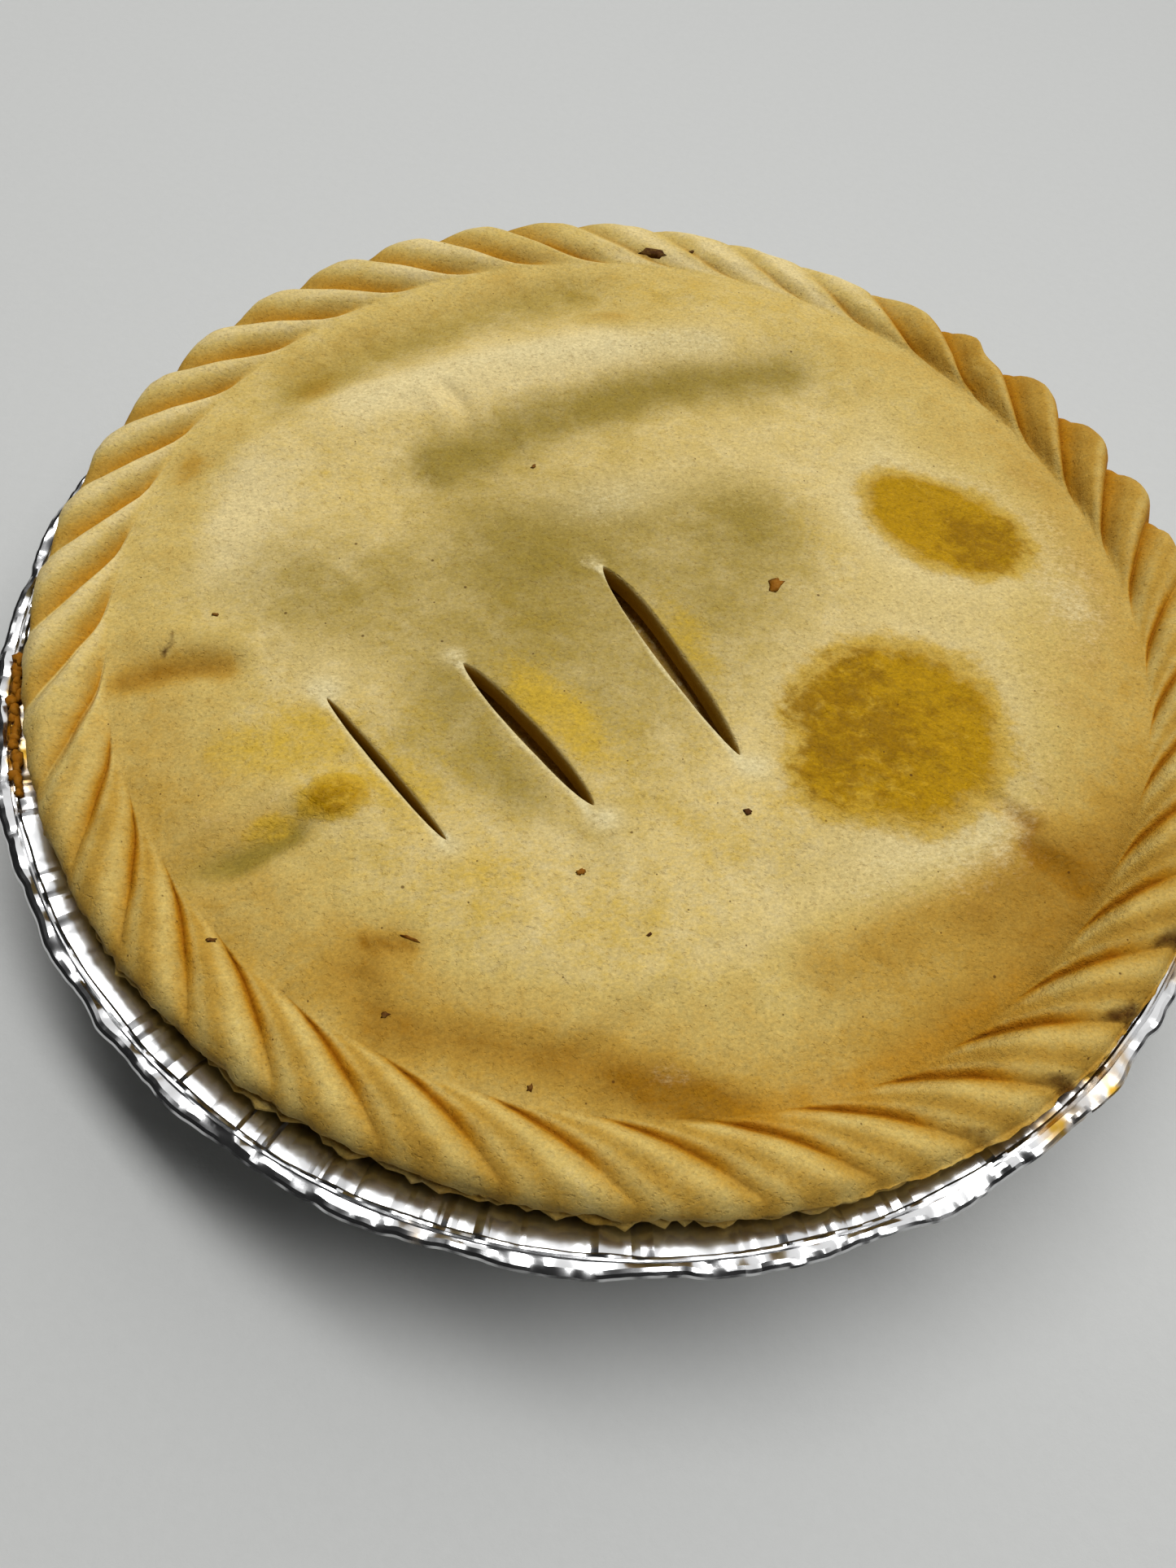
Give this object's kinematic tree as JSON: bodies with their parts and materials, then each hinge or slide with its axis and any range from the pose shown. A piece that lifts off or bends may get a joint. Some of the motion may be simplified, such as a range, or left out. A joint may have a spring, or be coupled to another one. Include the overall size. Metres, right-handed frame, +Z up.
{
  "type": "meat and potato pie",
  "caption": "Whole round pie in its pressed foil dish: domed pale crust with steam slits and soaked spots, rope-crimped rim, crumpled foil hem.",
  "frame": {"origin": "centre of the foil dish's flat base, on the surface the pie stands on", "axes": "+Z up out of the dish, -Y towards the front of the pie as pictured, +X to its right"},
  "size_m": [0.2246, 0.224, 0.039],
  "materials": {
    "foil": "bright pressed foil with fine pleats and a crumpled hem",
    "case_pastry": "baked shortcrust pastry, golden, dry",
    "filling": "moist dark meat and potato filling",
    "lid_pastry": "pale floury shortcrust pastry, browned on its crimps, soaked olive-gold in patches"
  },
  "bodies": {
    "root": {"foil_dish": "foil", "pastry_case": "case_pastry", "filling": "filling", "pastry_lid": "lid_pastry"}
  },
  "joints": []
}
